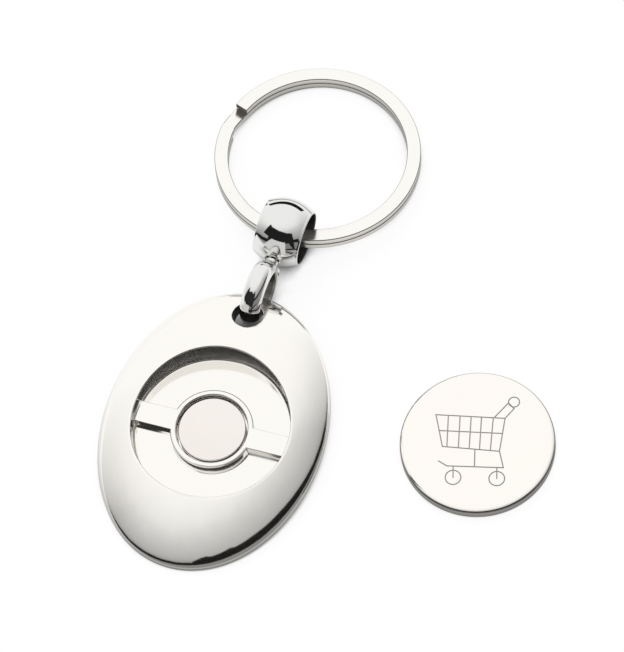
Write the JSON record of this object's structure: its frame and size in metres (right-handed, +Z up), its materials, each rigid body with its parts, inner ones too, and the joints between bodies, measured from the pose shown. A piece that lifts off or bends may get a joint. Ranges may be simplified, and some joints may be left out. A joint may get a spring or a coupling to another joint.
{
  "type": "trolley coin keyring",
  "caption": "Domed oval metal fob with a magnetic coin pocket, a swivel link and barrel, a flat-wire split ring and the loose trolley coin.",
  "frame": {"origin": "middle of the footprint, on the plane that the fob, the barrel, the ring and the coin lie on", "axes": "+Y along the keyring from the fob to the split ring, +X from the fob towards the loose coin, +Z up"},
  "size_m": [0.0672, 0.0872, 0.0106],
  "materials": {
    "polished_nickel": "polished nickel on a zinc casting",
    "magnet_nickel": "nickel-plated magnet, lightly satin",
    "polished_chrome": "mirror-polished chrome",
    "brushed_nickel": "nickel-plated spring steel, lightly grained",
    "satin_nickel": "satin nickel-plated steel"
  },
  "bodies": {
    "fob": {"fob_body": "polished_nickel", "magnet": "magnet_nickel"},
    "link": {"swivel_link": "polished_chrome"},
    "barrel": {"barrel": "polished_chrome"},
    "ring": {"split_ring": "brushed_nickel"},
    "coin": {"coin": "satin_nickel"}
  },
  "joints": [
    {"name": "link_swing", "type": "hinge", "parent": "fob", "child": "link", "pos_m": [-0.01631, 0.00139, 0.00529], "axis": [0.9968, -0.061, -0.0523], "range_deg": [-100, 110]},
    {"name": "barrel_swivel", "type": "hinge", "parent": "link", "child": "barrel", "pos_m": [-0.01564, 0.01237, 0.00529], "axis": [0.061, 0.9981, 0], "continuous": true},
    {"name": "ring_swing", "type": "hinge", "parent": "barrel", "child": "ring", "pos_m": [-0.01564, 0.01237, 0.00529], "axis": [0.9968, -0.061, -0.0523], "range_deg": [-45, 90]},
    {"name": "coin_turn_in", "type": "hinge", "parent": "fob", "child": "coin", "pos_m": [0.00264, -0.01707, 0.00327], "axis": [0.2313, -0.9724, -0.0315], "range_deg": [0, 180.86]}
  ]
}
